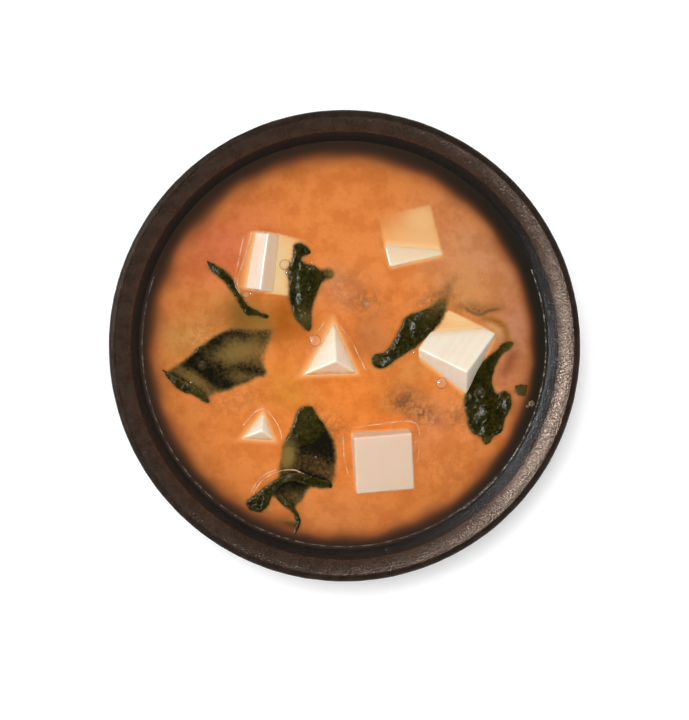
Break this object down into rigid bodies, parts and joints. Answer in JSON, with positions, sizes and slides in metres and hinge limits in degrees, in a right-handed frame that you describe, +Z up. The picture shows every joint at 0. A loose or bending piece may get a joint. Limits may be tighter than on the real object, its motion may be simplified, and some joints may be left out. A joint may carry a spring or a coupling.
{
  "type": "bowl of miso soup",
  "caption": "Miso soup in a round dark stoneware bowl on a foot ring, with floating tofu cubes and wakame leaves.",
  "frame": {"origin": "middle of the bowl's foot ring, on the surface it stands on", "axes": "+Z up out of the bowl's mouth; +X and +Y level, with the tallest tofu cube on the +X side"},
  "size_m": [0.12, 0.12, 0.064],
  "materials": {
    "stoneware": "dark brown satin glaze outside and on the rim, black gloss inside",
    "broth": "cloudy orange-brown liquid with a wet surface",
    "tofu": "soft cream bean curd, moist",
    "wakame": "wet dark green seaweed"
  },
  "bodies": {
    "root": {"bowl": "stoneware", "soup": "broth", "tofu_1": "tofu", "tofu_2": "tofu", "tofu_3": "tofu", "tofu_4": "tofu", "tofu_5": "tofu", "tofu_6": "tofu", "wakame_1": "wakame", "wakame_2": "wakame", "wakame_3": "wakame", "wakame_4": "wakame", "wakame_5": "wakame", "wakame_6": "wakame", "wakame_7": "wakame", "wakame_8": "wakame", "wakame_9": "wakame", "wakame_10": "wakame"}
  },
  "joints": []
}
